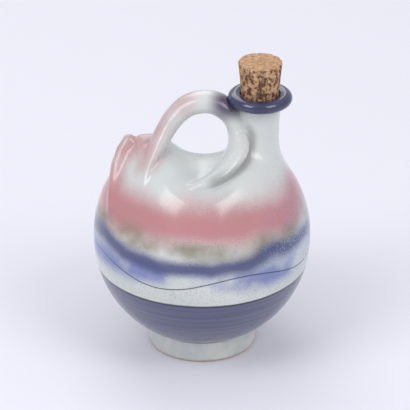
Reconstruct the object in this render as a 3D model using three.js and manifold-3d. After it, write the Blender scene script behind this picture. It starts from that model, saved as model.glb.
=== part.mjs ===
// Ceramic carafe with a strap handle, an offset neck and a loose cork.
// Millimetres, +Z up, origin on the floor under the middle of the foot, front towards -Y.
import * as THREE from 'three';
import { mergeVertices } from 'three/addons/utils/BufferGeometryUtils.js';
import Module from 'manifold-3d';

const wasm = await Module();
wasm.setup();

// Driving dimensions
const GAP = 0.3;
const BODY_RADIUS = 75;
const BODY_LOW_CENTRE_Z = 80.2;
const BODY_HIGH_CENTRE_Z = 83.8;
const BODY_CENTRE = new THREE.Vector3(0, 0, 82);
const WALL = 5.5;
const LOOP_CENTRE_X = 1.5;
const LOOP_CENTRE_Z = 159;
const LOOP_HALF_WIDTH = 22.5;
const LOOP_HALF_HEIGHT = 18.5;
const LOOP_EDGE_BLEND = 12;
const LOOP_FALL_START = 8;
const LOOP_FALL_ROUND = 8;
const LOOP_FALL = 0.6;
const LOOP_SPREAD = 0.45;
const NECK_X = 39.4;
const NECK_RADIUS = 13.3;
const NECK_TOP_RADIUS = 14.2;
const NECK_TOP_Z = 181;
const NECK_BLEND = 14;
const NECK_CUT_RADIUS = 19.3;
const NECK_EYE_Z = 166;
const NECK_ROOT_Z = 150;
const NECK_FOOT_Z = 120;
const NECK_CORE_RADIUS = 15.5;
const THROAT_RADIUS = 10.6;
const LIP_BOTTOM_Z = 181.3;
const LIP_ROLL_RADIUS = 17.3;
const LIP_ROLL_Z = 185.7;
const LIP_ROLL_WIDE = 4.8;
const LIP_ROLL_HIGH = 4.3;
const CORK_BOTTOM_Z = 179.3;
const CORK_TOP_Z = 212.3;
const CORK_BOTTOM_RADIUS = 11.9;
const CORK_TOP_RADIUS = 15.0;
const FOOT_RADIUS = 37.6;
const FOOT_INNER_RADIUS = 31;

// Pinched shoulder swelling at the handle's left root, as x, y, z, radius
const SHOULDER_SWELL = [
  [-18, 3, 128, 16],
  [-34, 4, 138, 13],
  [-46, 5, 141, 8.5],
  [-54, 3, 133, 7],
];
// Shallow dimples pressed into the front, as longitude, latitude, depth, spread in degrees
const DIMPLES = [
  [-130, 24, 3.4, 14],
  [-59, 28, 3.2, 15],
  [-93, 23, 1.2, 18],
];
// Strap stations along its middle line, as x, y, z, half thickness, half width
const STRAP = [
  [-39, -33, 132, 2.2, 4],
  [-38.2, -28, 138, 3.6, 6],
  [-34.7, -19, 146.4, 5, 9],
  [-29.8, -11, 155, 6.2, 10],
  [-24.5, -5, 164, 6.6, 10],
  [-18.2, -2, 172.6, 7, 9.8],
  [-10.2, 0, 179.2, 7.3, 9.6],
  [-0.7, 0, 182.4, 7.6, 9.6],
  [8.6, 0, 181.6, 7.7, 9.6],
  [16.9, -1, 177, 7.7, 9.8],
  [22.9, -2, 169.5, 7.6, 10.2],
  [25.3, -5, 159.7, 7.6, 10.5],
  [24.5, -13, 154, 7.2, 11],
  [20.5, -24, 149.5, 6.6, 10],
  [13.5, -34, 145, 5.6, 8],
  [4, -40.5, 141.5, 4.4, 6],
  [-6, -43, 138.5, 3, 4],
];
// Gathered pleats at the handle's left root, each as x, y, z, radius
const PLEATS = [
  [[-35, 4, 150, 5.5], [-41, 6, 150, 4.6], [-45.5, 6, 148.5, 3.6], [-50, 5, 151, 4.4], [-54.5, 2, 145, 4.2],
    [-58, -3, 137, 3.8], [-60, -10, 128.5, 3.3], [-61, -18, 121.5, 2.8], [-61.3, -26, 114.5, 2.2]],
  [[-37, 9, 147, 4.5], [-40, 0, 148.5, 4], [-39, -12, 145, 3.4], [-39.5, -22, 140, 3], [-41, -30, 134, 2.4]],
];
// Crease under the outer edge of the strap's right root, as x, y, z, radius
const CREASE = [
  [30, -20, 150.5, 1.6],
  [26.5, -28, 148.8, 2.2],
  [21.5, -35, 146.8, 2.2],
  [14.5, -41, 144.2, 2],
  [5, -46, 142, 1.4],
];

const clamp = (v, lo, hi) => Math.min(Math.max(v, lo), hi);
const smoothMin = (a, b, k) => {
  const h = Math.max(k - Math.abs(a - b), 0) / k;
  return Math.min(a, b) - h * h * k * 0.25;
};
const smoothMax = (a, b, k) => -smoothMin(-a, -b, k);

// Least distance to a chain of balls whose radius changes along it
function chainDistance(p, chain) {
  let best = Infinity;
  for (let i = 0; i + 1 < chain.length; i++) {
    const [ax, ay, az, ar] = chain[i];
    const [bx, by, bz, br] = chain[i + 1];
    const s = [bx - ax, by - ay, bz - az];
    const q = [p.x - ax, p.y - ay, p.z - az];
    const t = clamp((q[0] * s[0] + q[1] * s[1] + q[2] * s[2]) / (s[0] ** 2 + s[1] ** 2 + s[2] ** 2), 0, 1);
    const d = Math.hypot(q[0] - t * s[0], q[1] - t * s[1], q[2] - t * s[2]) - (ar + t * (br - ar));
    best = Math.min(best, d);
  }
  return best;
}

function dimpleDepth(p) {
  const dir = p.clone().sub(BODY_CENTRE).normalize();
  let depth = 0;
  for (const [lon, lat, amount, spread] of DIMPLES) {
    const a = THREE.MathUtils.degToRad(lon);
    const b = THREE.MathUtils.degToRad(lat);
    const axis = new THREE.Vector3(Math.cos(b) * Math.cos(a), Math.cos(b) * Math.sin(a), Math.sin(b));
    const angle = THREE.MathUtils.radToDeg(Math.acos(clamp(dir.dot(axis), -1, 1)));
    depth += amount * Math.exp(-((angle / spread) ** 2));
  }
  return depth;
}

// Channel of the finger loop through the shoulder, which falls away towards the back
function loopValue(p, moreWidth, moreHeight) {
  const past = p.y - LOOP_FALL_START;
  const back = (past + Math.hypot(past, LOOP_FALL_ROUND)) / 2;
  const across = (p.x - LOOP_CENTRE_X) / (LOOP_HALF_WIDTH + moreWidth + LOOP_SPREAD * back);
  const up = (p.z - LOOP_CENTRE_Z - 1 + LOOP_FALL * back) / (LOOP_HALF_HEIGHT + moreHeight);
  return (Math.hypot(across, up) - 1) * LOOP_HALF_HEIGHT;
}

// Distance-like value of the belly: below zero inside, above zero outside
function bellyValue(p) {
  const centreZ = clamp(p.z, BODY_LOW_CENTRE_Z, BODY_HIGH_CENTRE_Z);
  const ball = Math.hypot(p.x, p.y, p.z - centreZ) - BODY_RADIUS + dimpleDepth(p);
  const swollen = smoothMin(ball, chainDistance(p, SHOULDER_SWELL), 12);
  const saddled = smoothMax(swollen, -loopValue(p, 0, 0), LOOP_EDGE_BLEND);
  return smoothMax(saddled, -chainDistance(p, CREASE), 3);
}

function neckValue(p) {
  const rise = clamp((p.z - 160) / (NECK_TOP_Z - 160), 0, 1);
  const radius = NECK_RADIUS + (NECK_TOP_RADIUS - NECK_RADIUS) * rise * rise;
  return Math.max(Math.hypot(p.x - NECK_X, p.y) - radius, NECK_FOOT_Z - p.z);
}

const potValue = (p) => smoothMin(bellyValue(p), neckValue(p), NECK_BLEND);

// Inside of the belly: one wall thickness in, with softened dents
function cavityValue(p) {
  const centreZ = clamp(p.z, BODY_LOW_CENTRE_Z, BODY_HIGH_CENTRE_Z);
  const ball = Math.hypot(p.x, p.y, p.z - centreZ) - BODY_RADIUS + dimpleDepth(p) + WALL;
  const creased = smoothMax(ball, WALL - chainDistance(p, CREASE), 3);
  return smoothMax(creased, -loopValue(p, WALL + 2, WALL + 1), 14);
}

// First distance along a ray at which a value reaches a level
function solveRay(value, origin, dir, level, start, limit) {
  const p = new THREE.Vector3();
  const at = (t) => value(p.copy(dir).multiplyScalar(t).add(origin)) - level;
  let near = start;
  let far = start;
  while (far < limit && at(far) < 0) {
    near = far;
    far += 1.5;
  }
  if (far >= limit) return limit;
  for (let i = 0; i < 22; i++) {
    const mid = (near + far) / 2;
    if (at(mid) < 0) near = mid;
    else far = mid;
  }
  return (near + far) / 2;
}

function toManifold(geometry) {
  const plain = geometry.clone();
  plain.deleteAttribute('normal');
  plain.deleteAttribute('uv');
  const welded = mergeVertices(plain, 1e-5);
  return new wasm.Manifold(new wasm.Mesh({
    numProp: 3,
    vertProperties: new Float32Array(welded.attributes.position.array),
    triVerts: new Uint32Array(welded.index.array),
  }));
}

function toGeometry(solid) {
  const mesh = solid.getMesh();
  const geometry = new THREE.BufferGeometry();
  geometry.setAttribute('position', new THREE.BufferAttribute(new Float32Array(mesh.vertProperties), 3));
  geometry.setIndex(new THREE.BufferAttribute(new Uint32Array(mesh.triVerts), 1));
  const facets = geometry.toNonIndexed();
  facets.computeVertexNormals();
  return facets;
}

// Closed solid from rings of points that run upwards, each ring counter-clockwise seen from above
function ringSolid(rings, bottom, top) {
  const count = rings[0].length;
  const positions = [];
  for (const ring of rings) for (const p of ring) positions.push(p.x, p.y, p.z);
  const low = positions.length / 3;
  positions.push(bottom.x, bottom.y, bottom.z, top.x, top.y, top.z);
  const index = [];
  for (let r = 0; r + 1 < rings.length; r++) {
    for (let i = 0; i < count; i++) {
      const j = (i + 1) % count;
      const a = r * count + i;
      const b = r * count + j;
      index.push(a, b, b + count, a, b + count, a + count);
    }
  }
  const last = (rings.length - 1) * count;
  for (let i = 0; i < count; i++) {
    const j = (i + 1) % count;
    index.push(low, j, i, low + 1, last + i, last + j);
  }
  const geometry = new THREE.BufferGeometry();
  geometry.setAttribute('position', new THREE.Float32BufferAttribute(positions, 3));
  geometry.setIndex(index);
  return toManifold(geometry);
}

// Closed shell solved along rays from the belly's centre, in rings about the line to the neck's root
function bellySolid(value, level, around, angles) {
  const pole = new THREE.Vector3(NECK_X, 0, NECK_ROOT_Z - BODY_CENTRE.z).normalize();
  const side = new THREE.Vector3(0, 1, 0);
  const up = new THREE.Vector3().crossVectors(pole, side);
  const point = (turn, angle) => {
    const dir = pole.clone().multiplyScalar(Math.cos(angle))
      .addScaledVector(side, Math.sin(angle) * Math.cos(turn))
      .addScaledVector(up, Math.sin(angle) * Math.sin(turn));
    const p = dir.clone().multiplyScalar(solveRay(value, BODY_CENTRE, dir, level, 30, 110)).add(BODY_CENTRE);
    const nearNeck = Math.hypot(p.x - NECK_X, p.y) < NECK_CORE_RADIUS && p.z > BODY_CENTRE.z;
    if (value !== potValue || !nearNeck) return p;
    return dir.multiplyScalar(solveRay(bellyValue, BODY_CENTRE, dir, level, 30, 110)).add(BODY_CENTRE);
  };
  const rings = angles.map((degrees) => {
    const ring = [];
    for (let i = 0; i < around; i++) {
      ring.push(point((2 * Math.PI * i) / around, THREE.MathUtils.degToRad(degrees)));
    }
    return ring;
  }).reverse();
  const solid = ringSolid(rings, point(0, Math.PI), point(0, 0));
  if (solid.volume() > 0) return solid;
  return ringSolid(rings.map((ring) => [...ring].reverse()), point(0, Math.PI), point(0, 0));
}

// Outside of the neck and its flare, solved along rays from a point inside it
function neckSolid(level) {
  const around = 40;
  const eye = new THREE.Vector3(NECK_X, 0, NECK_EYE_Z);
  const floorDrop = 46;
  const widest = 22;
  const rings = [];
  for (const slope of [-78, -70, -64, -58, -52, -46, -40, -34, -28, -20, -10, 0]) {
    const e = THREE.MathUtils.degToRad(slope);
    const reach = Math.min(widest / Math.cos(e), slope < 0 ? floorDrop / Math.abs(Math.sin(e)) : widest);
    const ring = [];
    for (let i = 0; i < around; i++) {
      const a = (2 * Math.PI * i) / around;
      const dir = new THREE.Vector3(Math.cos(e) * Math.cos(a), Math.cos(e) * Math.sin(a), Math.sin(e));
      ring.push(dir.clone().multiplyScalar(solveRay(potValue, eye, dir, level, 2, reach)).add(eye));
    }
    rings.push(ring);
  }
  for (const z of [170, 174, 178, NECK_TOP_Z + level]) {
    const rise = clamp((z - 160) / (NECK_TOP_Z - 160), 0, 1);
    const radius = NECK_RADIUS + (NECK_TOP_RADIUS - NECK_RADIUS) * rise * rise + level;
    const ring = [];
    for (let i = 0; i < around; i++) {
      const a = (2 * Math.PI * i) / around;
      ring.push(new THREE.Vector3(NECK_X + radius * Math.cos(a), radius * Math.sin(a), z));
    }
    rings.push(ring);
  }
  const bottom = new THREE.Vector3(NECK_X, 0, NECK_EYE_Z - floorDrop);
  return ringSolid(rings, bottom, new THREE.Vector3(NECK_X, 0, NECK_TOP_Z + level));
}

// Turned solid about an upright axis, from a closed outline of radius and height pairs
function turnedSolid(outline, around, x = 0) {
  const points = [...outline, outline[0]].map(([r, z]) => new THREE.Vector2(r, z));
  const lathe = new THREE.LatheGeometry(points, around);
  lathe.rotateX(Math.PI / 2);
  lathe.translate(x, 0, 0);
  const solid = toManifold(lathe);
  return solid.volume() > 0 ? solid : toManifold(flipped(lathe));
}

function flipped(geometry) {
  const copy = geometry.clone();
  const index = Array.from(copy.index.array);
  for (let i = 0; i < index.length; i += 3) [index[i + 1], index[i + 2]] = [index[i + 2], index[i + 1]];
  copy.setIndex(index);
  return copy;
}

function cylinderSolid(radius, zLow, zHigh, around, x = 0) {
  const geometry = new THREE.CylinderGeometry(radius, radius, zHigh - zLow, around);
  geometry.rotateX(Math.PI / 2);
  geometry.translate(x, 0, (zLow + zHigh) / 2);
  return toManifold(geometry);
}

// Strap of oval rings along a smooth line through its stations
function strapSolid(stations, grow, steps, around) {
  const curve = new THREE.CatmullRomCurve3(stations.map(([x, y, z]) => new THREE.Vector3(x, y, z)));
  const spans = stations.length - 1;
  const rings = [];
  const middles = [];
  for (let s = 0; s <= steps; s++) {
    const t = s / steps;
    const k = Math.min(Math.floor(t * spans), spans - 1);
    const f = t * spans - k;
    const thick = stations[k][3] + f * (stations[k + 1][3] - stations[k][3]) + grow;
    const wide = stations[k][4] + f * (stations[k + 1][4] - stations[k][4]) + grow;
    const middle = curve.getPoint(t);
    const along = curve.getTangent(t);
    const side = new THREE.Vector3(0, 1, 0).addScaledVector(along, -along.y).normalize();
    const out = new THREE.Vector3().crossVectors(along, side).normalize();
    const ring = [];
    for (let i = 0; i < around; i++) {
      const a = (2 * Math.PI * i) / around;
      ring.push(middle.clone().addScaledVector(out, thick * Math.cos(a)).addScaledVector(side, -wide * Math.sin(a)));
    }
    rings.push(ring);
    middles.push(middle);
  }
  const solid = ringSolid(rings, middles[0], middles[middles.length - 1]);
  if (solid.volume() > 0) return solid;
  return ringSolid(rings.map((ring) => [...ring].reverse()), middles[0], middles[middles.length - 1]);
}

function pleatSolid(chain) {
  const stations = chain.map(([x, y, z, r]) => [x, y, z, r, r]);
  const first = chain[0];
  const last = chain[chain.length - 1];
  const end = new THREE.SphereGeometry(first[3] * 0.96, 12, 8).translate(first[0], first[1], first[2]);
  const tip = new THREE.SphereGeometry(last[3] * 0.96, 12, 8).translate(last[0], last[1], last[2]);
  return tubeSolid(stations).add(toManifold(end)).add(toManifold(tip));
}

function tubeSolid(stations) {
  const curve = new THREE.CatmullRomCurve3(stations.map(([x, y, z]) => new THREE.Vector3(x, y, z)));
  const steps = stations.length * 3;
  const frames = curve.computeFrenetFrames(steps, false);
  const spans = stations.length - 1;
  const around = 12;
  const rings = [];
  for (let s = 0; s <= steps; s++) {
    const t = s / steps;
    const middle = curve.getPointAt(t);
    const k = Math.min(Math.floor(t * spans), spans - 1);
    const f = t * spans - k;
    const radius = stations[k][3] + f * (stations[k + 1][3] - stations[k][3]);
    const ring = [];
    for (let i = 0; i < around; i++) {
      const a = (2 * Math.PI * i) / around;
      ring.push(middle.clone().addScaledVector(frames.normals[s], radius * Math.cos(a))
        .addScaledVector(frames.binormals[s], radius * Math.sin(a)));
    }
    rings.push(ring);
  }
  const solid = ringSolid(rings, curve.getPoint(0), curve.getPoint(1));
  if (solid.volume() > 0) return solid;
  return ringSolid(rings.map((ring) => [...ring].reverse()), curve.getPoint(0), curve.getPoint(1));
}

const lipOutline = (grow) => {
  const outline = [[12.4 - grow, LIP_BOTTOM_Z - grow], [14.6, LIP_BOTTOM_Z - grow]];
  for (let a = -105; a <= 90; a += 15) {
    const t = THREE.MathUtils.degToRad(a);
    outline.push([
      LIP_ROLL_RADIUS + (LIP_ROLL_WIDE + grow) * Math.cos(t),
      LIP_ROLL_Z + (LIP_ROLL_HIGH + grow) * Math.sin(t),
    ]);
  }
  outline.push([14.6, 189.5 + grow], [13.1 - grow, 188.4]);
  return outline;
};

// Solids that shape their neighbours
const OUTER_ANGLES = [5, 9.5, 11.5, 13, 14.5, 16, 18, 20.5, 23.5, 27, 31, 35, 39, 43, 47.5, 52, 56.5, 61, 65.5, 70,
  75, 80, 85, 90, 95, 101, 107, 113, 119, 125, 131, 137, 143, 149, 155, 161, 167, 173.5];
const INNER_ANGLES = [8, 16, 24, 32, 40, 48, 56, 64, 72, 80, 88, 96, 104, 112, 120, 128, 136, 144, 152, 160, 170];
const cavity = bellySolid(cavityValue, 0, 32, INNER_ANGLES);
const bellyOuter = bellySolid(potValue, 0, 60, OUTER_ANGLES);
const bellyClear = bellySolid(potValue, GAP, 60, OUTER_ANGLES);
const neckOuter = neckSolid(0).intersect(cylinderSolid(NECK_CUT_RADIUS - GAP / 2, 100, 200, 48, NECK_X));
const neckClear = neckSolid(GAP).intersect(cylinderSolid(NECK_CUT_RADIUS + GAP / 2, 100, 200, 48, NECK_X));
const neckSlot = cylinderSolid(NECK_CUT_RADIUS + GAP / 2, 100, 230, 48, NECK_X);
const throat = turnedSolid(
  [[0, 100], [THROAT_RADIUS, 100], [THROAT_RADIUS, 174.5], [12.25, 178.6], [12.4, 185], [0, 185]], 40, NECK_X);
const lipClear = turnedSolid(lipOutline(GAP), 48, NECK_X).add(cylinderSolid(13, 180, 212, 24, NECK_X));

// Pieces
const body = bellyOuter.subtract(cavity).subtract(neckSlot);
const neck = neckOuter.subtract(cavity).subtract(throat);
const lip = turnedSolid(lipOutline(0), 56, NECK_X);
const foot = turnedSolid(
  [[FOOT_INNER_RADIUS, 0], [FOOT_RADIUS - 0.8, 0], [FOOT_RADIUS, 0.9], [FOOT_RADIUS - 0.4, 7],
    [FOOT_RADIUS - 0.1, 13], [FOOT_RADIUS + 1.2, 20], [FOOT_INNER_RADIUS, 20]], 64).subtract(bellyClear);
const strapFull = strapSolid(STRAP, 0, 56, 20);
const strap = strapFull.subtract(bellyClear).subtract(neckClear).subtract(lipClear);
const folds = PLEATS.map(pleatSolid).reduce((a, b) => a.add(b))
  .subtract(bellyClear).subtract(strapSolid(STRAP, GAP, 56, 20));
const cork = turnedSolid(
  [[0, CORK_BOTTOM_Z], [CORK_BOTTOM_RADIUS - 0.5, CORK_BOTTOM_Z], [CORK_BOTTOM_RADIUS, CORK_BOTTOM_Z + 0.6],
    [CORK_TOP_RADIUS, CORK_TOP_Z - 0.6], [CORK_TOP_RADIUS - 0.6, CORK_TOP_Z], [0, CORK_TOP_Z]], 48, NECK_X);

// The largest closed part of a cut solid, so that no loose sliver is kept
function mainPart(solid) {
  const parts = solid.decompose();
  return parts.reduce((a, b) => (a.volume() > b.volume() ? a : b));
}

const LOOKS = {
  body: [0xc9d0cf, 0.18, 0],
  foot_ring: [0xd6d8d2, 0.22, 0],
  neck: [0xccd3d2, 0.18, 0],
  lip_ring: [0x39406a, 0.15, 0],
  strap_handle: [0xcfd2d0, 0.18, 0],
  root_fold: [0xd3b9b6, 0.2, 0],
  cork_stopper: [0xb98a5e, 0.85, 0],
};

const carafe = new THREE.Group();
carafe.name = 'carafe';
const PIECES = {
  body: mainPart(body),
  foot_ring: foot,
  neck: mainPart(neck),
  lip_ring: lip,
  strap_handle: mainPart(strap),
  root_fold: mainPart(folds),
  cork_stopper: cork,
};
for (const [name, solid] of Object.entries(PIECES)) {
  const [color, roughness, metalness] = LOOKS[name];
  const mesh = new THREE.Mesh(toGeometry(solid), new THREE.MeshStandardMaterial({ color, roughness, metalness }));
  mesh.name = name;
  carafe.add(mesh);
  console.log(name, solid.numTri(), solid.volume().toFixed(0), solid.decompose().length);
}

export default carafe;
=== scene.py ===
"""Glazed ceramic carafe with a strap handle, an offset neck and a loose cork."""

import logging
import math
from dataclasses import dataclass, field
from enum import Enum

import bmesh
import bpy
import numpy as np
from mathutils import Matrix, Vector, noise

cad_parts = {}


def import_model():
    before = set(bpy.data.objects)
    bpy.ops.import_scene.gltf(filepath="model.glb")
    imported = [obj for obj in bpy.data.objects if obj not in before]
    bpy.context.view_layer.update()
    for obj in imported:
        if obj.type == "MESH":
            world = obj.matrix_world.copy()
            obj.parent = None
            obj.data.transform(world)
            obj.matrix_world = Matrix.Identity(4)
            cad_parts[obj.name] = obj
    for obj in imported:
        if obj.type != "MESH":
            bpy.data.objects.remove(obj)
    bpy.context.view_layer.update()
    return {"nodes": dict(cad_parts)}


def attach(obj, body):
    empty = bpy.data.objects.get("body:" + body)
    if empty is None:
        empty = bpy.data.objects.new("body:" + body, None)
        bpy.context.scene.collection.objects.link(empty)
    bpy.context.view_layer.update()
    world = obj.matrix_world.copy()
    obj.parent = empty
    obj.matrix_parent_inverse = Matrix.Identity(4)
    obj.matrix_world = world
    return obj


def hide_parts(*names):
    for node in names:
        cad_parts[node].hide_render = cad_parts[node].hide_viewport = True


LOG = logging.getLogger("carafe")
MM = 0.001
FAR = 1e9
TINY = 1e-9
MERGE = 1e-6

Row = tuple[float, ...]
Rows = tuple[Row, ...]
Colour = tuple[float, float, float]
Place = tuple[float, float, float]

ROSE: Colour = (0.52, 0.16, 0.18)
OLIVE: Colour = (0.15, 0.13, 0.045)
COBALT: Colour = (0.03, 0.04, 0.17)
BRIGHT_COBALT: Colour = (0.05, 0.09, 0.42)
SKY: Colour = (0.25, 0.38, 0.62)

NECK_AXIS_X = 39.4
LIP_FOOT_Z = 181.3


class Body(Enum):
    """The two bodies that move apart."""

    POT = "pot"
    CORK = "cork"


def smooth_min(a: np.ndarray, b: np.ndarray, k: float) -> np.ndarray:
    """Lesser of two distances, rounded over a width k."""
    h = np.maximum(k - np.abs(a - b), 0) / k
    return np.minimum(a, b) - h * h * k * 0.25


@dataclass(frozen=True)
class Dimple:
    """A shallow dent in the belly, placed and spread in degrees, its depth in millimetres."""

    longitude: float
    latitude: float
    depth: float
    spread: float

    def axis(self) -> np.ndarray:
        """Direction from the belly's middle to the dent."""
        turn, rise = math.radians(self.longitude), math.radians(self.latitude)
        return np.array([math.cos(rise) * math.cos(turn), math.cos(rise) * math.sin(turn), math.sin(rise)])


@dataclass(frozen=True)
class ClayForm:
    """The outside of the fused clay as one smooth distance, in millimetres.

    Rows of swell, pleats and crease hold x, y, z and a radius. Rows of the strap hold x, y, z, half
    its thickness and half its width.
    """

    radius: float = 75.0
    low_centre_z: float = 80.2
    high_centre_z: float = 83.8
    middle_z: float = 82.0
    loop_x: float = 1.5
    loop_z: float = 159.0
    loop_half_wide: float = 22.5
    loop_half_high: float = 18.5
    loop_blend: float = 12.0
    fall_start: float = 8.0
    fall_round: float = 8.0
    fall: float = 0.6
    fall_at_middle: float = 1.0
    spread: float = 0.45
    neck_x: float = NECK_AXIS_X
    neck_foot_z: float = 120.0
    neck_radius: float = 13.3
    neck_top_radius: float = 14.2
    flare_z: float = 160.0
    flare_height: float = 21.0
    neck_blend: float = 14.0
    strap_blend: float = 2.6
    strap_steps: int = 3
    pleat_blend: float = 4.0
    swell_blend: float = 12.0
    crease_blend: float = 2.0
    skin_depth: float = 2.4
    bore_radius: float = 12.7
    bore_foot_z: float = 135.0
    neck_end_z: float = 180.5
    swell: Rows = ((-18, 3, 128, 16), (-34, 4, 138, 13), (-46, 5, 141, 8.5), (-54, 3, 133, 7))
    dimples: tuple[Dimple, ...] = (
        Dimple(-130, 24, 3.4, 14),
        Dimple(-59, 28, 3.2, 15),
        Dimple(-93, 23, 1.2, 18),
    )
    strap: Rows = (
        (-39, -33, 132, 2.2, 4), (-38.2, -28, 138, 3.6, 6), (-34.7, -19, 146.4, 5, 9),
        (-29.8, -11, 155, 6.2, 10), (-24.5, -5, 164, 6.6, 10), (-18.2, -2, 172.6, 7, 9.8),
        (-10.2, 0, 179.2, 7.3, 9.6), (-0.7, 0, 182.4, 7.6, 9.6), (8.6, 0, 181.6, 7.7, 9.6),
        (16.9, -1, 177, 7.7, 9.8), (22.9, -2, 169.5, 7.6, 10.2), (25.3, -5, 159.7, 7.6, 10.5),
        (24.5, -13, 154, 7.2, 11), (20.5, -24, 149.5, 6.6, 10), (13.5, -34, 145, 5.6, 8),
        (4, -40.5, 141.5, 4.4, 6), (-6, -43, 138.5, 3, 4),
    )
    pleats: tuple[Rows, ...] = (
        ((-35, 4, 150, 5.5), (-41, 6, 150, 4.6), (-45.5, 6, 148.5, 3.6), (-50, 5, 151, 4.4),
         (-54.5, 2, 145, 4.2), (-58, -3, 137, 3.8), (-60, -10, 128.5, 3.3), (-61, -18, 121.5, 2.8),
         (-61.3, -26, 114.5, 2.2)),
        ((-37, 9, 147, 4.5), (-40, 0, 148.5, 4), (-39, -12, 145, 3.4), (-39.5, -22, 140, 3),
         (-41, -30, 134, 2.4)),
    )
    crease: Rows = (
        (30, -20, 150.5, 1.6), (26.5, -28, 148.8, 2.2), (21.5, -35, 146.8, 2.2), (14.5, -41, 144.2, 2),
        (5, -46, 142, 1.4),
    )

    def chain(self, p: np.ndarray, balls: Rows) -> np.ndarray:
        """Distance to a chain of balls of changing radius.

        Args:
            p: Points, one row each.
            balls: x, y, z and radius of each ball.

        Returns:
            One distance for each point.
        """
        best = np.full(len(p), FAR)
        for first, second in zip(balls[:-1], balls[1:]):
            a, b = np.array(first), np.array(second)
            s = b[:3] - a[:3]
            t = np.clip(((p - a[:3]) @ s) / (s @ s), 0, 1)
            gap = np.linalg.norm(p - a[:3] - t[:, None] * s, axis=1)
            best = np.minimum(best, gap - (a[3] + t * (b[3] - a[3])))
        return best

    def smooth_stations(self, stations: Rows, steps: int) -> np.ndarray:
        """Rows of a smooth line through the stations.

        Args:
            stations: The rows to pass through.
            steps: Rows for each span.

        Returns:
            The finer rows.
        """
        rows = np.array(stations, float)
        last = len(rows) - 1
        out = []
        for i in range(last):
            p0, p1, p2, p3 = rows[max(i - 1, 0)], rows[i], rows[i + 1], rows[min(i + 2, last)]
            for t in np.arange(steps) / steps:
                curve = 2 * p1 + (p2 - p0) * t + (2 * p0 - 5 * p1 + 4 * p2 - p3) * t ** 2
                out.append(0.5 * (curve + (3 * p1 - p0 - 3 * p2 + p3) * t ** 3))
        return np.array(out + [rows[-1]])

    def strap_distance(self, p: np.ndarray) -> np.ndarray:
        """Distance to the oval strap.

        Args:
            p: Points, one row each.

        Returns:
            One distance for each point.
        """
        rows = self.smooth_stations(self.strap, self.strap_steps)
        best = np.full(len(p), FAR)
        for a, b in zip(rows[:-1], rows[1:]):
            s = b[:3] - a[:3]
            along = s / np.linalg.norm(s)
            t = np.clip(((p - a[:3]) @ s) / (s @ s), 0, 1)
            side = np.array([0.0, 1.0, 0.0]) - along * along[1]
            side /= np.linalg.norm(side)
            q = p - a[:3] - t[:, None] * s
            wide = q @ side
            other = np.maximum((q * q).sum(1) - wide ** 2, 0)
            thick_r = a[3] + t * (b[3] - a[3])
            wide_r = a[4] + t * (b[4] - a[4])
            k0 = np.sqrt(other / thick_r ** 2 + wide ** 2 / wide_r ** 2)
            k1 = np.sqrt(other / thick_r ** 4 + wide ** 2 / wide_r ** 4) + TINY
            best = np.minimum(best, k0 * (k0 - 1) / k1)
        return best

    def belly(self, p: np.ndarray) -> np.ndarray:
        """Distance to the belly with its dimples, swell, loop channel and crease.

        Args:
            p: Points, one row each.

        Returns:
            One distance for each point.
        """
        centre_z = np.clip(p[:, 2], self.low_centre_z, self.high_centre_z)
        ball = np.sqrt(p[:, 0] ** 2 + p[:, 1] ** 2 + (p[:, 2] - centre_z) ** 2) - self.radius
        aim = p - np.array([0, 0, self.middle_z])
        aim /= np.linalg.norm(aim, axis=1, keepdims=True) + TINY
        for dimple in self.dimples:
            angle = np.degrees(np.arccos(np.clip(aim @ dimple.axis(), -1, 1)))
            ball = ball + dimple.depth * np.exp(-(angle / dimple.spread) ** 2)
        swollen = smooth_min(ball, self.chain(p, self.swell), self.swell_blend)
        past = p[:, 1] - self.fall_start
        back = (past + np.hypot(past, self.fall_round)) / 2
        across = (p[:, 0] - self.loop_x) / (self.loop_half_wide + self.spread * back)
        up = (p[:, 2] - self.loop_z - self.fall_at_middle + self.fall * back) / self.loop_half_high
        hollow = (np.hypot(across, up) - 1) * self.loop_half_high
        saddled = -smooth_min(-swollen, hollow, self.loop_blend)
        return -smooth_min(-saddled, self.chain(p, self.crease), self.crease_blend)

    def distance(self, p: np.ndarray) -> np.ndarray:
        """Distance to the whole outside of the clay.

        Args:
            p: Points, one row each.

        Returns:
            One distance for each point, below zero inside.
        """
        rise = np.clip((p[:, 2] - self.flare_z) / self.flare_height, 0, 1)
        tube = np.hypot(p[:, 0] - self.neck_x, p[:, 1])
        side = tube - self.neck_radius - (self.neck_top_radius - self.neck_radius) * rise ** 2
        neck = np.maximum(side, self.neck_foot_z - p[:, 2])
        pot = smooth_min(self.belly(p), neck, self.neck_blend)
        pot = smooth_min(pot, self.strap_distance(p), self.strap_blend)
        for pleat in self.pleats:
            pot = smooth_min(pot, self.chain(p, pleat), self.pleat_blend)
        return pot

    def settle(self, p: np.ndarray, rounds: int = 5) -> np.ndarray:
        """Moves points that lie near the outside exactly on to it.

        Args:
            p: Points, one row each.
            rounds: Steps taken.

        Returns:
            The moved points.
        """
        step = 0.15
        longest_move = 1.5
        move_share = 0.9
        least_slope = 0.2
        out = p.copy()
        from_neck = np.hypot(p[:, 0] - self.neck_x, p[:, 1])
        in_bore = (from_neck < self.bore_radius) & (p[:, 2] > self.bore_foot_z)
        near = (self.distance(p) > -self.skin_depth) & ~in_bore & (p[:, 2] < self.neck_end_z)
        for _ in range(rounds):
            q = out[near]
            value = self.distance(q)
            slope = np.stack([
                (self.distance(q + d) - self.distance(q - d)) / (2 * step) for d in np.eye(3) * step
            ], axis=1)
            steep = np.maximum((slope ** 2).sum(1), least_slope)
            move = np.clip(value / steep, -longest_move, longest_move)
            out[near] = q - slope * move[:, None] * move_share
        return out


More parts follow.
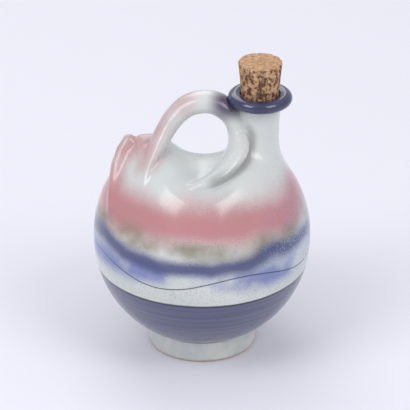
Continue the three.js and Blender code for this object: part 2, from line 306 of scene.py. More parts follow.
def new_object(name: str, mesh: bpy.types.Mesh) -> bpy.types.Object:
    """A shown object that holds a mesh, at the origin.

    Args:
        name: The object's name.
        mesh: What it holds.

    Returns:
        The object.
    """
    obj = bpy.data.objects.new(name, mesh)
    bpy.context.scene.collection.objects.link(obj)
    return obj


def shade_smooth(mesh: bpy.types.Mesh) -> None:
    """Marks every face of a mesh as smooth."""
    mesh.polygons.foreach_set("use_smooth", [True] * len(mesh.polygons))
    mesh.update()


def dress(piece: bpy.types.Object, finish: bpy.types.Material) -> None:
    """Gives a piece its one material and reports it.

    Args:
        piece: The finished piece.
        finish: The material.
    """
    piece.data.materials.clear()
    piece.data.materials.append(finish)
    LOG.info("%s: %d faces", piece.name, len(piece.data.polygons))


def turned_mesh(name: str, outline: list[tuple[float, float]], steps: int, x: float) -> bpy.types.Mesh:
    """A closed turned shape about an upright axis.

    Args:
        name: The mesh's name.
        outline: Radius and height pairs in millimetres, closed on itself or on the axis.
        steps: Steps round the turn.
        x: Where the axis stands, in millimetres.

    Returns:
        The mesh, in metres.
    """
    bm = bmesh.new()
    verts = [bm.verts.new((r * MM, 0, z * MM)) for r, z in outline]
    edges = [bm.edges.new(pair) for pair in zip(verts[:-1], verts[1:])]
    if outline[0][0] > 0:
        edges.append(bm.edges.new((verts[-1], verts[0])))
    bmesh.ops.spin(bm, geom=verts + edges, cent=(0, 0, 0), axis=(0, 0, 1), dvec=(0, 0, 0),
                   angle=math.tau, steps=steps, use_merge=True, use_duplicate=False)
    bmesh.ops.remove_doubles(bm, verts=bm.verts, dist=MERGE)
    bmesh.ops.recalc_face_normals(bm, faces=bm.faces)
    bmesh.ops.translate(bm, verts=bm.verts, vec=(x * MM, 0, 0))
    mesh = bpy.data.meshes.new(name)
    bm.to_mesh(mesh)
    bm.free()
    shade_smooth(mesh)
    return mesh


def rounded(outline: list[tuple[float, float]], rounds: int = 2) -> list[tuple[float, float]]:
    """An open outline with its corners cut softer, its two ends kept.

    Args:
        outline: Radius and height pairs.
        rounds: How often the corners are cut.

    Returns:
        The softer outline.
    """
    near = 0.75
    far = 0.25
    points = outline
    for _ in range(rounds):
        cut = [points[0]]
        for (ar, az), (br, bz) in zip(points[:-1], points[1:]):
            cut.append((ar * near + br * far, az * near + bz * far))
            cut.append((ar * far + br * near, az * far + bz * near))
        points = cut + [points[-1]]
    return points


class Nodes:
    """A material's or a group's node tree with short ways to add to it."""

    def __init__(self, tree: bpy.types.NodeTree) -> None:
        """Keeps the tree."""
        self.tree = tree

    def add(self, kind: str, values: dict | None = None, **settings: object) -> bpy.types.Node:
        """Adds a node.

        Args:
            kind: The node's type.
            values: Input name or number to a value or to a socket that feeds it.
            settings: Properties of the node.

        Returns:
            The node.
        """
        node = self.tree.nodes.new(kind)
        for key, value in settings.items():
            setattr(node, key, value)
        for key, value in (values or {}).items():
            socket = node.inputs[key]
            if isinstance(value, bpy.types.NodeSocket):
                self.tree.links.new(value, socket)
            else:
                socket.default_value = value
        return node

    def math(self, operation: str, a: object, b: object = 0.0) -> bpy.types.NodeSocket:
        """Result of a math node on two values or sockets."""
        return self.add("ShaderNodeMath", {0: a, 1: b}, operation=operation).outputs[0]

    def times(self, a: object, b: object) -> bpy.types.NodeSocket:
        """Product of two values or sockets."""
        return self.math("MULTIPLY", a, b)

    def rest(self, value: object) -> bpy.types.NodeSocket:
        """What is left of 1 after a value."""
        return self.math("SUBTRACT", 1.0, value)

    def apart(self, a: object, b: object) -> bpy.types.NodeSocket:
        """How far two values lie apart."""
        return self.math("ABSOLUTE", self.math("SUBTRACT", a, b))

    def fade(self, value: object, low: float, high: float) -> bpy.types.NodeSocket:
        """A smooth rise from 0 at low to 1 at high.

        Args:
            value: The value or socket that rises.
            low: Where the rise starts.
            high: Where it ends.

        Returns:
            The rise.
        """
        given = {"Value": value, "From Min": low, "From Max": high}
        return self.add("ShaderNodeMapRange", given, interpolation_type="SMOOTHSTEP").outputs[0]

    def between(self, value: object, ends: tuple[float, float]) -> bpy.types.NodeSocket:
        """A value from 0 to 1, taken to lie between two ends."""
        given = {"Value": value, "To Min": ends[0], "To Max": ends[1]}
        return self.add("ShaderNodeMapRange", given).outputs[0]

    def noise(self, vector: object, scale: float, detail: float,
              rough: float = 0.5) -> bpy.types.NodeSocket:
        """Cloudy noise over a vector."""
        given = {"Vector": vector, "Scale": scale, "Detail": detail, "Roughness": rough}
        return self.add("ShaderNodeTexNoise", given).outputs[0]

    def mix(self, factor: object, a: object, b: object) -> bpy.types.NodeSocket:
        """Colour a going over to colour b.

        Args:
            factor: How much of b shows.
            a: First colour or socket.
            b: Second colour or socket.

        Returns:
            The mixed colour.
        """
        node = self.add("ShaderNodeMix", {"Factor": factor}, data_type="RGBA")
        for key, value in (("A", a), ("B", b)):
            socket = [s for s in node.inputs if s.name == key and s.type == "RGBA"][0]
            if isinstance(value, bpy.types.NodeSocket):
                self.tree.links.new(value, socket)
            else:
                socket.default_value = (*value, 1)
        return [s for s in node.outputs if s.type == "RGBA"][0]


class FinishNodes(Nodes):
    """A new material's node tree, read in the object's own coordinates."""

    def __init__(self, name: str) -> None:
        """Makes the material with an empty tree, and its coordinates.

        Args:
            name: The material's name.
        """
        self.material = bpy.data.materials.new(name)
        self.material.use_nodes = True
        self.material.node_tree.nodes.clear()
        super().__init__(self.material.node_tree)
        self.vector = self.add("ShaderNodeTexCoord").outputs["Object"]
        self.place = self.add("ShaderNodeSeparateXYZ", {0: self.vector}).outputs

    def cloud(self, scale: float, detail: float) -> bpy.types.NodeSocket:
        """Cloudy noise over the object."""
        return self.noise(self.vector, scale, detail)

    def group(self, tree: bpy.types.NodeTree, values: dict[str, float]) -> bpy.types.NodeSocket:
        """Mask of a shared group with these values."""
        node = self.add("ShaderNodeGroup", {"Vector": self.vector, **values}, node_tree=tree)
        return node.outputs["Mask"]

    def near(self, place: Place, reach: float) -> bpy.types.NodeSocket:
        """Mask that is 1 round a place and fades to 0 away from it.

        Args:
            place: The middle, in metres.
            reach: Where the mask ends, in metres.

        Returns:
            The mask.
        """
        full_share = 0.25
        away = self.add("ShaderNodeVectorMath", {0: self.vector, 1: place}, operation="DISTANCE")
        return self.rest(self.fade(away.outputs["Value"], reach * full_share, reach))

    def bump(self, height: object, strength: float, distance: float) -> bpy.types.NodeSocket:
        """Normals raised by a height."""
        given = {"Strength": strength, "Distance": distance, "Height": height}
        return self.add("ShaderNodeBump", given).outputs[0]

    def surface(self, values: dict[str, object]) -> bpy.types.Material:
        """Ends the tree in one shader.

        Args:
            values: The shader's inputs.

        Returns:
            The finished material.
        """
        shader = self.add("ShaderNodeBsdfPrincipled", values)
        self.add("ShaderNodeOutputMaterial", {"Surface": shader.outputs[0]})
        return self.material


def sprayed_band_group() -> bpy.types.NodeTree:
    """A soft band of sprayed colour that wanders round the belly.

    Returns:
        A node group that turns a place, height, half width, wander and phase into a mask.
    """
    waves = 3.0
    wave_share = 0.5
    drift_scale = 22.0
    drift_share = 3.0
    grain_scale = 1500.0
    grain_share = 0.7
    full_cover = 0.2
    no_cover = 1.5
    tree = bpy.data.node_groups.new("sprayed_band", "ShaderNodeTree")
    tree.interface.new_socket("Vector", in_out="INPUT", socket_type="NodeSocketVector")
    for name in ("Height", "Half Width", "Wander", "Phase"):
        tree.interface.new_socket(name, in_out="INPUT", socket_type="NodeSocketFloat")
    tree.interface.new_socket("Mask", in_out="OUTPUT", socket_type="NodeSocketFloat")
    n = Nodes(tree)
    given = n.add("NodeGroupInput").outputs
    place = n.add("ShaderNodeSeparateXYZ", {0: given["Vector"]}).outputs
    turn = n.math("ARCTAN2", place["Y"], place["X"])
    wave = n.math("SINE", n.math("ADD", n.times(turn, waves), given["Phase"]))
    slow = n.noise(given["Vector"], drift_scale, 2.0)
    slow = n.times(n.math("SUBTRACT", slow, 0.5), drift_share)
    drift = n.math("ADD", n.times(wave, wave_share), slow)
    middle = n.math("ADD", given["Height"], n.times(drift, given["Wander"]))
    away = n.math("DIVIDE", n.apart(place["Z"], middle), given["Half Width"])
    grain = n.noise(given["Vector"], grain_scale, 3.0)
    rough = n.math("ADD", away, n.times(n.math("SUBTRACT", grain, 0.5), grain_share))
    n.add("NodeGroupOutput", {"Mask": n.rest(n.fade(rough, full_cover, no_cover))})
    return tree


def speckle_group() -> bpy.types.NodeTree:
    """Fine sprayed dots.

    Returns:
        A node group that turns a place, scale and size into a mask.
    """
    edge = 0.12
    tree = bpy.data.node_groups.new("fine_speckle", "ShaderNodeTree")
    tree.interface.new_socket("Vector", in_out="INPUT", socket_type="NodeSocketVector")
    for name in ("Scale", "Size"):
        tree.interface.new_socket(name, in_out="INPUT", socket_type="NodeSocketFloat")
    tree.interface.new_socket("Mask", in_out="OUTPUT", socket_type="NodeSocketFloat")
    n = Nodes(tree)
    given = n.add("NodeGroupInput").outputs
    cells = n.add("ShaderNodeTexVoronoi", {"Vector": given["Vector"], "Scale": given["Scale"]})
    inside = n.math("SUBTRACT", given["Size"], cells.outputs["Distance"])
    n.add("NodeGroupOutput", {"Mask": n.fade(inside, 0.0, edge)})
    return tree


@dataclass(frozen=True)
class SprayedBand:
    """One sprayed band: height, half width and wander in metres, and how strongly it covers."""

    height: float
    half_width: float
    wander: float
    phase: float
    cover: float = 1.0

    def mask(self, n: FinishNodes, group: bpy.types.NodeTree) -> bpy.types.NodeSocket:
        """Where the band covers, and how strongly.

        Args:
            n: The finish's nodes.
            group: The sprayed band group.

        Returns:
            The mask.
        """
        mask = n.group(group, {
            "Height": self.height,
            "Half Width": self.half_width,
            "Wander": self.wander,
            "Phase": self.phase,
        })
        return n.times(mask, self.cover)


@dataclass(frozen=True)
class Speckle:
    """One layer of dots: cells to the metre, dot size within a cell, and how strongly it covers."""

    scale: float
    size: float
    cover: float

    def mask(self, n: FinishNodes, group: bpy.types.NodeTree) -> bpy.types.NodeSocket:
        """Where the dots cover, and how strongly."""
        return n.times(n.group(group, {"Scale": self.scale, "Size": self.size}), self.cover)


@dataclass(frozen=True)
class GlazeFinish:
    """Gloss glaze over pale clay, with its sprayed colours. Places are in metres."""

    pale: Colour = (0.60, 0.64, 0.63)
    pale_warm: Colour = (0.72, 0.74, 0.71)
    cloud_scale: float = 18.0
    cloud_fade: tuple[float, float] = (0.3, 0.7)
    patch_scale: float = 30.0
    patch_fade: tuple[float, float] = (0.3, 0.62)
    dip: Colour = (0.085, 0.092, 0.175)
    dip_light: Colour = (0.125, 0.13, 0.215)
    dip_height: float = 0.0635
    dip_waver: float = 0.0015
    dip_edge: float = 0.0004
    dip_rim: float = 0.0012
    rim_cover: float = 0.9
    streak_stretch: Place = (3.0, 3.0, 260.0)
    streak_scale: float = 3.0
    streak_fade: tuple[float, float] = (0.35, 0.75)
    line: Colour = (0.015, 0.018, 0.03)
    line_height: float = 0.0805
    line_swing: float = 0.0045
    line_waves: float = 4.0
    line_half: float = 0.0002
    line_fade: float = 0.0007
    line_cover: float = 0.8
    rose_band: SprayedBand = SprayedBand(0.119, 0.014, 0.004, 0.6, 0.85)
    olive_band: SprayedBand = SprayedBand(0.104, 0.007, 0.005, 2.2, 0.7)
    bright_band: SprayedBand = SprayedBand(0.084, 0.009, 0.004, 1.5, 0.75)
    cobalt_band: SprayedBand = SprayedBand(0.094, 0.006, 0.005, 3.4, 0.9)
    lower_band: SprayedBand = SprayedBand(0.073, 0.012, 0.003, 5.0)
    right_band: SprayedBand = SprayedBand(0.105, 0.04, 0.002, 0.0)
    right_side: tuple[float, float] = (0.03, 0.07)
    lower_dots: Speckle = Speckle(900.0, 0.30, 0.6)
    right_dots: Speckle = Speckle(650.0, 0.42, 0.6)
    stray_dots: Speckle = Speckle(430.0, 0.12, 0.35)
    blush: tuple[Place, ...] = (
        (-0.051, 0.002, 0.151), (-0.058, -0.003, 0.141), (-0.060, -0.012, 0.128), (-0.040, 0.0, 0.150),
        (-0.036, -0.020, 0.147), (-0.034, -0.010, 0.158), (-0.028, -0.004, 0.169), (-0.014, -0.002, 0.184),
    )
    blush_reach: float = 0.017
    blush_cover: float = 0.42
    # Painted shade: a dark line along the crease where the strap meets the neck and shoulder, standing for
    # the gap's shadow.
    painted_crease_shade: Colour = (0.10, 0.10, 0.065)
    painted_shade_line: tuple[Place, ...] = (
        (0.033, -0.004, 0.176), (0.0335, -0.009, 0.166), (0.0325, -0.014, 0.157),
        (0.030, -0.020, 0.1505), (0.0265, -0.028, 0.1488), (0.0215, -0.035, 0.1468),
        (0.0145, -0.041, 0.1442), (0.005, -0.046, 0.142),
    )
    painted_shade_steps: int = 4
    painted_shade_reach: float = 0.0065
    painted_shade_cover: float = 0.2
    smudge: Colour = (0.085, 0.06, 0.12)
    smudge_place: Place = (0.017, -0.007, 0.184)
    smudge_reach: float = 0.016
    smudge_cover: float = 0.95
    gloss: tuple[float, float] = (0.18, 0.28)
    ripple_scale: float = 60.0
    ripple_strength: float = 0.12
    ripple_depth: float = 0.002
    coat: float = 0.4
    coat_roughness: float = 0.14

    def spray(self, n: FinishNodes, colour: object, band: bpy.types.NodeTree,
              speckle: bpy.types.NodeTree) -> bpy.types.NodeSocket:
        """Sprays the bands and the dots over the pale glaze.

        Args:
            n: The finish's nodes.
            colour: The glaze so far.
            band: The sprayed band group.
            speckle: The speckle group.

        Returns:
            The sprayed colour.
        """
        patchy = n.fade(n.cloud(self.patch_scale, 3.0), *self.patch_fade)
        colour = n.mix(self.rose_band.mask(n, band), colour, ROSE)
        colour = n.mix(n.times(self.olive_band.mask(n, band), patchy), colour, OLIVE)
        colour = n.mix(n.times(self.bright_band.mask(n, band), patchy), colour, BRIGHT_COBALT)
        colour = n.mix(self.cobalt_band.mask(n, band), colour, COBALT)
        lower = n.times(self.lower_band.mask(n, band), self.lower_dots.mask(n, speckle))
        colour = n.mix(lower, colour, OLIVE)
        right = n.times(n.fade(n.place["X"], *self.right_side), self.right_band.mask(n, band))
        colour = n.mix(n.times(right, self.right_dots.mask(n, speckle)), colour, SKY)
        return n.mix(self.stray_dots.mask(n, speckle), colour, OLIVE)

    def touch(self, n: FinishNodes, colour: object) -> bpy.types.NodeSocket:
        """Adds the rose on the folds, painted shade along the crease beside the strap and the smudge by
        the lip.

        Args:
            n: The finish's nodes.
            colour: The glaze so far.

        Returns:
            The touched colour.
        """
        for spot in self.blush:
            colour = n.mix(n.times(n.near(spot, self.blush_reach), self.blush_cover), colour, ROSE)
        # Painted shade: darkens the crease along the strap's outer side, spot by spot.
        line = np.array(self.painted_shade_line)
        for first, second in zip(line[:-1], line[1:]):
            for step in range(self.painted_shade_steps):
                spot = first + (second - first) * step / self.painted_shade_steps
                mask = n.near(tuple(spot), self.painted_shade_reach)
                colour = n.mix(n.times(mask, self.painted_shade_cover), colour, self.painted_crease_shade)
        smudge = n.near(self.smudge_place, self.smudge_reach)
        return n.mix(n.times(smudge, self.smudge_cover), colour, self.smudge)

    def draw_line(self, n: FinishNodes, colour: object) -> bpy.types.NodeSocket:
        """Draws one thin wavy line round the belly.

        Args:
            n: The finish's nodes.
            colour: The glaze so far.

        Returns:
            The colour with its line.
        """
        turn = n.math("ARCTAN2", n.place["Y"], n.place["X"])
        swing = n.times(n.math("SINE", n.times(turn, self.line_waves)), self.line_swing)
        middle = n.math("ADD", self.line_height, swing)
        thread = n.rest(n.fade(n.apart(n.place["Z"], middle), self.line_half, self.line_fade))
        return n.mix(n.times(thread, self.line_cover), colour, self.line)

    def dip_foot(self, n: FinishNodes, colour: object, cloud: object) -> bpy.types.NodeSocket:
        """Dips the bottom in the streaked blue glaze, with a dark rim.

        Args:
            n: The finish's nodes.
            colour: The glaze so far.
            cloud: The noise that makes the dip's edge waver.

        Returns:
            The dipped colour.
        """
        flat = n.add("ShaderNodeMapping", {"Vector": n.vector, "Scale": self.streak_stretch}).outputs[0]
        streak = n.noise(flat, self.streak_scale, 3.0)
        dipped = n.mix(n.fade(streak, *self.streak_fade), self.dip, self.dip_light)
        edge = n.math("ADD", n.place["Z"], n.times(n.math("SUBTRACT", cloud, 0.5), self.dip_waver))
        above = n.fade(edge, self.dip_height - self.dip_edge, self.dip_height + self.dip_edge)
        colour = n.mix(n.rest(above), colour, dipped)
        rim = n.rest(n.fade(n.apart(edge, self.dip_height), self.dip_edge, self.dip_rim))
        return n.mix(n.times(rim, self.rim_cover), colour, self.line)

    def material(self, band: bpy.types.NodeTree, speckle: bpy.types.NodeTree) -> bpy.types.Material:
        """Builds the material.

        Args:
            band: The sprayed band group.
            speckle: The speckle group.

        Returns:
            The material.
        """
        n = FinishNodes("sprayed_gloss_glaze")
        cloud = n.cloud(self.cloud_scale, 4.0)
        ripple = n.cloud(self.ripple_scale, 2.0)
        colour = n.mix(n.fade(cloud, *self.cloud_fade), self.pale, self.pale_warm)
        colour = self.spray(n, colour, band, speckle)
        colour = self.touch(n, colour)
        colour = self.draw_line(n, colour)
        colour = self.dip_foot(n, colour, cloud)
        return n.surface({
            "Base Color": colour,
            "Roughness": n.between(cloud, self.gloss),
            "Normal": n.bump(ripple, self.ripple_strength, self.ripple_depth),
            "Coat Weight": self.coat,
            "Coat Roughness": self.coat_roughness,
        })


@dataclass(frozen=True)
class PlainGlazeFinish:
    """Gloss glaze of one dipped colour, lighter in clouds and bare below a height in metres."""

    name: str
    deep: Colour
    light: Colour
    bare: Colour
    bare_height: float = -1.0
    bare_fade: float = 0.0016
    dots: Speckle = Speckle(700.0, 0.16, 0.3)
    cloud_scale: float = 70.0
    cloud_fade: tuple[float, float] = (0.35, 0.7)
    gloss: tuple[float, float] = (0.17, 0.7)
    ripple_strength: float = 0.1
    ripple_depth: float = 0.001
    coat: float = 0.5
    coat_roughness: float = 0.06

    def material(self, speckle: bpy.types.NodeTree) -> bpy.types.Material:
        """Builds the material.

        Args:
            speckle: The speckle group.

        Returns:
            The material.
        """
        n = FinishNodes(self.name)
        cloud = n.cloud(self.cloud_scale, 4.0)
        colour = n.mix(n.fade(cloud, *self.cloud_fade), self.deep, self.light)
        colour = n.mix(self.dots.mask(n, speckle), colour, self.bare)
        low = n.rest(n.fade(n.place["Z"], self.bare_height, self.bare_height + self.bare_fade))
        return n.surface({
            "Base Color": n.mix(low, colour, self.bare),
            "Roughness": n.between(low, self.gloss),
            "Normal": n.bump(cloud, self.ripple_strength, self.ripple_depth),
            "Coat Weight": self.coat,
            "Coat Roughness": self.coat_roughness,
        })


@dataclass(frozen=True)
class CorkFinish:
    """Dry natural cork with dark pores, fewer of them on its cut top."""

    tan: Colour = (0.48, 0.25, 0.12)
    pale: Colour = (0.66, 0.43, 0.25)
    pore: Colour = (0.06, 0.012, 0.006)
    grain_scale: float = 420.0
    grain_fade: tuple[float, float] = (0.35, 0.65)
    flake_stretch: Place = (1.0, 1.0, 0.75)
    flake_scale: float = 330.0
    flake_roughness: float = 0.7
    pore_fade: tuple[float, float] = (0.49, 0.56)
    pore_cover: float = 0.85
    pit_strength: float = 0.6
    pit_depth: float = 0.0008
    top_fade: tuple[float, float] = (0.2112, 0.2119)
    top_share: float = 0.75
    dryness: tuple[float, float] = (0.75, 0.95)

    def material(self) -> bpy.types.Material:
        """Builds the material.

        Returns:
            The material.
        """
        n = FinishNodes("natural_cork")
        fine = n.cloud(self.grain_scale, 5.0)
        colour = n.mix(n.fade(fine, *self.grain_fade), self.tan, self.pale)
        tall = n.add("ShaderNodeMapping", {"Vector": n.vector, "Scale": self.flake_stretch}).outputs[0]
        flake = n.noise(tall, self.flake_scale, 6.0, self.flake_roughness)
        side = n.rest(n.times(n.fade(n.place["Z"], *self.top_fade), self.top_share))
        pores = n.times(n.fade(flake, *self.pore_fade), side)
        pits = n.math("SUBTRACT", fine, pores)
        return n.surface({
            "Base Color": n.mix(n.times(pores, self.pore_cover), colour, self.pore),
            "Roughness": n.between(fine, self.dryness),
            "Normal": n.bump(pits, self.pit_strength, self.pit_depth),
        })


@dataclass
class FusedPot:
    """The belly, neck, strap and folds as one fired skin, its sizes in millimetres."""

    form: ClayForm = field(default_factory=ClayForm)
    grain: float = 1.35
    grow: float = 0.35
    smoothings: int = 6
    smoothing: float = 0.5
    half_length: float = 74.9
    front_y: float = -74.65
    back_y: float = 74.85
    nodes: tuple[str, ...] = ("body", "neck", "strap_handle", "root_fold")

    def grown_copies(self, cad: dict[str, bpy.types.Object]) -> bpy.types.Mesh:
        """Merged copies of the solids, grown until they meet.

        Args:
            cad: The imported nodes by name.

        Returns:
            One mesh that holds them all.
        """
        bm = bmesh.new()
        for name in self.nodes:
            part = bmesh.new()
            part.from_mesh(cad[name].data)
            bmesh.ops.remove_doubles(part, verts=part.verts, dist=MERGE)
            part.normal_update()
            for vert in part.verts:
                vert.co += vert.normal * self.grow * MM
            copy = bpy.data.meshes.new(name + "_copy")
            part.to_mesh(copy)
            part.free()
            bm.from_mesh(copy)
            bpy.data.meshes.remove(copy)
        mesh = bpy.data.meshes.new("fused_pot")
        bm.to_mesh(mesh)
        bm.free()
        return mesh

    def fuse(self, obj: bpy.types.Object) -> bpy.types.Mesh:
        """Remeshes the copies into one skin and smooths it.

        Args:
            obj: The object that holds them, which then holds the skin.

        Returns:
            The skin.
        """
        remesh = obj.modifiers.new("fuse", "REMESH")
        remesh.mode = "VOXEL"
        remesh.voxel_size = self.grain * MM
        evaluated = obj.evaluated_get(bpy.context.evaluated_depsgraph_get())
        skin = bpy.data.meshes.new_from_object(evaluated)
        obj.modifiers.clear()
        obj.data = skin
        bm = bmesh.new()
        bm.from_mesh(skin)
        for _ in range(self.smoothings):
            bmesh.ops.smooth_vert(bm, verts=bm.verts, factor=self.smoothing,
                                  use_axis_x=True, use_axis_y=True, use_axis_z=True)
        bm.to_mesh(skin)
        bm.free()
        return skin

    def settle(self, skin: bpy.types.Mesh) -> None:
        """Settles the skin on the smooth form, inside the pot's box.

        Args:
            skin: The mesh whose points move.
        """
        points = np.empty(len(skin.vertices) * 3)
        skin.vertices.foreach_get("co", points)
        settled = self.form.settle(points.reshape(-1, 3) / MM)
        settled[:, 1] = np.clip(settled[:, 1], self.front_y, self.back_y)
        settled[:, 0] = np.clip(settled[:, 0], -self.half_length, self.half_length)
        skin.vertices.foreach_set("co", (settled * MM).ravel())
        shade_smooth(skin)

    def build(self, cad: dict[str, bpy.types.Object], finish: bpy.types.Material) -> bpy.types.Object:
        """Fuses the solids into the pot's skin.

        Args:
            cad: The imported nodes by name.
            finish: The glaze.

        Returns:
            The finished piece.
        """
        obj = new_object("fused_pot", self.grown_copies(cad))
        self.settle(self.fuse(obj))
        dress(obj, finish)
        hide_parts(*self.nodes)
        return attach(obj, Body.POT.value)


@dataclass
class RolledLip:
    """The rolled ring round the mouth, in millimetres. Points are radius and height pairs."""

    axis_x: float = NECK_AXIS_X
    sleeve: tuple[tuple[float, float], ...] = ((12.4, LIP_FOOT_Z), (14.4, LIP_FOOT_Z))
    roll_radius: float = 17.3
    roll_z: float = 185.7
    wide: float = 4.75
    high: float = 4.25
    roll_from: int = -105
    roll_to: int = 91
    roll_step: int = 8
    mouth: tuple[tuple[float, float], ...] = ((15.6, 189.8), (14.3, 189.4), (13.5, 188.9), (13.1, 188.2))
    steps: int = 96

    def build(self, finish: bpy.types.Material) -> bpy.types.Object:
        """Turns the ring and stands it on the neck.

        Args:
            finish: The glaze.

        Returns:
            The finished piece.
        """
        outline = list(self.sleeve)
        for degrees in range(self.roll_from, self.roll_to, self.roll_step):
            t = math.radians(degrees)
            out = self.roll_radius + self.wide * math.cos(t)
            outline.append((out, self.roll_z + self.high * math.sin(t)))
        outline += self.mouth
        obj = new_object("rolled_lip", turned_mesh("rolled_lip", outline, self.steps, self.axis_x))
        dress(obj, finish)
        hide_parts("lip_ring")
        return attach(obj, Body.POT.value)


@dataclass
class TurnedFoot:
    """The foot ring under the belly, in millimetres.

    The outside's points are how far in from the outer radius, and the height. The inside's are how
    far out from the inner radius, and the height.
    """

    radius: float = 37.6
    inner: float = 31.0
    outside: tuple[tuple[float, float], ...] = ((0.9, 0.02), (0.1, 1.2), (0.6, 7), (0.5, 12), (0.2, 15))
    inside: tuple[tuple[float, float], ...] = ((2, 12.5), (0, 10), (0, 1))
    tread: tuple[float, float] = (1.2, 0.02)
    steps: int = 96

    def build(self, finish: bpy.types.Material) -> bpy.types.Object:
        """Turns the foot.

        Args:
            finish: The glaze.

        Returns:
            The finished piece.
        """
        tread = [(self.inner + self.tread[0], self.tread[1])]
        outer = rounded(tread + [(self.radius - step, z) for step, z in self.outside])
        inner = [(self.inner + step, z) for step, z in self.inside]
        obj = new_object("turned_foot", turned_mesh("turned_foot", outer + inner, self.steps, 0))
        dress(obj, finish)
        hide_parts("foot_ring")
        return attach(obj, Body.POT.value)


@dataclass
class TaperedCork:
    """The loose cork with its chipped edge, in millimetres."""

    axis_x: float = NECK_AXIS_X
    bottom_z: float = 179.3
    top_z: float = 212.2
    bottom_radius: float = 11.85
    top_radius: float = 14.95
    rows: int = 34
    top_rings: int = 12
    steps: int = 110
    edge: float = 0.5
    top_edge: float = 0.35
    chip_scale: float = 420.0
    chip_floor: float = 0.12
    chip_depth: float = 0.9
    rim_height: float = 1.2
    rim_scale: float = 260.0
    rim_depth: float = 1.6
    rim_drop: float = 0.4
    bare_middle: float = 0.01

    def outline(self) -> list[tuple[float, float]]:
        """Half of the cork's section.

        Returns:
            Radius and height pairs, from the middle of the bottom to the middle of the top.
        """
        rise = self.top_z - self.bottom_z - 2 * self.edge
        grow = self.top_radius - self.bottom_radius
        side = []
        for i in range(self.rows + 1):
            t = i / self.rows
            side.append((self.bottom_radius + t * grow, self.bottom_z + self.edge + t * rise))
        flat = self.top_radius - self.top_edge
        top = [(flat - i * flat / self.top_rings, self.top_z) for i in range(self.top_rings + 1)]
        return [(0, self.bottom_z), (self.bottom_radius - self.edge, self.bottom_z)] + side + top

    def wear(self, mesh: bpy.types.Mesh) -> None:
        """Chips the cork's side and its top edge.

        Args:
            mesh: The turned cork.
        """
        axis = Vector((self.axis_x * MM, 0, 0))
        rim_shift = Vector((3, 1, 2))
        for vert in mesh.vertices:
            flat = Vector((vert.co.x - axis.x, vert.co.y, 0))
            if flat.length < self.bare_middle * MM:
                continue
            chip = max(noise.noise(vert.co * self.chip_scale) - self.chip_floor, 0) * self.chip_depth
            rim = max(0.0, 1 - abs(vert.co.z - self.top_z * MM) / (self.rim_height * MM))
            worn = max(noise.noise(vert.co * self.rim_scale + rim_shift), 0) * self.rim_depth
            dent = (chip + rim * worn) * MM
            vert.co -= flat.normalized() * dent
            vert.co.z -= rim * dent * self.rim_drop

    def build(self, finish: bpy.types.Material) -> bpy.types.Object:
        """Turns the cork and wears its skin.

        Args:
            finish: The cork's material.

        Returns:
            The finished piece.
        """
        mesh = turned_mesh("tapered_cork", self.outline(), self.steps, self.axis_x)
        self.wear(mesh)
        shade_smooth(mesh)
        obj = new_object("tapered_cork", mesh)
        dress(obj, finish)
        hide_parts("cork_stopper")
        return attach(obj, Body.CORK.value)


@dataclass(frozen=True)
class SoftBox:
    """One soft square light: its place and size in metres and its power in watts."""

    name: str
    place: Place
    size: float
    power: float


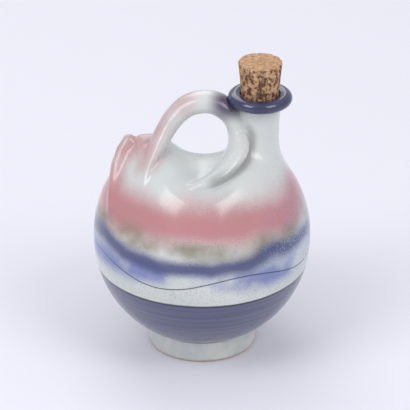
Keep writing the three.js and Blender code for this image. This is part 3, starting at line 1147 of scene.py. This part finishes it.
@dataclass
class Studio:
    """The pale floor, the soft lights and the camera, in metres."""

    aim: Place = (0.00208, 0.0088, 0.0993)
    elevation: float = 27.0
    distance: float = 2.0
    lens: float = 252.9
    sensor: float = 36.0
    far_clip: float = 50.0
    floor_colour: Colour = (0.86, 0.86, 0.92)
    floor_size: float = 6.0
    floor_roughness: float = 0.9
    light_aim: Place = (0, 0, 0.1)
    boxes: tuple[SoftBox, ...] = (
        SoftBox("left_box", (-0.9, -0.75, 1.35), 0.85, 8.5),
        SoftBox("right_box", (0.85, -0.8, 1.3), 0.75, 6.5),
        SoftBox("back_box", (-0.3, 1.3, 1.4), 1.2, 7.0),
    )
    sky_colour: Colour = (0.93, 0.94, 1.0)
    sky_strength: float = 0.62

    def floor(self) -> None:
        """Lays the floor."""
        bm = bmesh.new()
        bmesh.ops.create_grid(bm, x_segments=2, y_segments=2, size=self.floor_size)
        mesh = bpy.data.meshes.new("floor")
        bm.to_mesh(mesh)
        bm.free()
        mat = bpy.data.materials.new("pale_floor")
        mat.use_nodes = True
        shader = mat.node_tree.nodes["Principled BSDF"]
        shader.inputs["Base Color"].default_value = (*self.floor_colour, 1)
        shader.inputs["Roughness"].default_value = self.floor_roughness
        mesh.materials.append(mat)
        new_object("floor", mesh)

    def light(self, box: SoftBox) -> None:
        """Hangs one soft square light that faces the pot.

        Args:
            box: The light to hang.
        """
        lamp = bpy.data.lights.new(box.name, "AREA")
        lamp.size = box.size
        lamp.energy = box.power
        obj = bpy.data.objects.new(box.name, lamp)
        obj.location = box.place
        ray = Vector(self.light_aim) - Vector(box.place)
        obj.rotation_euler = ray.to_track_quat("-Z", "Y").to_euler()
        bpy.context.scene.collection.objects.link(obj)

    def camera(self) -> None:
        """Sets the camera at the photograph's angle."""
        lens = bpy.data.cameras.new("camera")
        lens.lens = self.lens
        lens.sensor_width = self.sensor
        lens.clip_end = self.far_clip
        obj = bpy.data.objects.new("camera", lens)
        tilt = math.radians(self.elevation)
        back = Vector((0, -math.cos(tilt), math.sin(tilt)))
        obj.location = Vector(self.aim) + back * self.distance
        obj.rotation_euler = (math.pi / 2 - tilt, 0, 0)
        bpy.context.scene.collection.objects.link(obj)
        bpy.context.scene.camera = obj

    def sky(self) -> None:
        """Fills the room with even light."""
        world = bpy.data.worlds.new("studio")
        world.use_nodes = True
        backdrop = world.node_tree.nodes["Background"]
        backdrop.inputs[0].default_value = (*self.sky_colour, 1)
        backdrop.inputs[1].default_value = self.sky_strength
        bpy.context.scene.world = world

    def build(self) -> None:
        """Sets up the whole studio."""
        self.floor()
        for box in self.boxes:
            self.light(box)
        self.sky()
        bpy.context.scene.view_settings.view_transform = "Standard"
        self.camera()


def main() -> None:
    """Builds the pot and its studio in order."""
    logging.basicConfig(level=logging.INFO)
    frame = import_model()
    Studio().build()
    band = sprayed_band_group()
    speckle = speckle_group()
    sprayed = GlazeFinish()
    blue = PlainGlazeFinish("dark_blue_glaze", deep=(0.03, 0.034, 0.09), light=(0.05, 0.055, 0.125),
                            bare=(0.02, 0.02, 0.05))
    white = PlainGlazeFinish("white_foot_glaze", deep=(0.58, 0.62, 0.60), light=(0.72, 0.73, 0.68),
                             bare=(0.55, 0.36, 0.28), bare_height=0.0006)
    FusedPot().build(frame["nodes"], sprayed.material(band, speckle))
    RolledLip().build(blue.material(speckle))
    TurnedFoot().build(white.material(speckle))
    TaperedCork().build(CorkFinish().material())


if __name__ == "__main__":
    main()
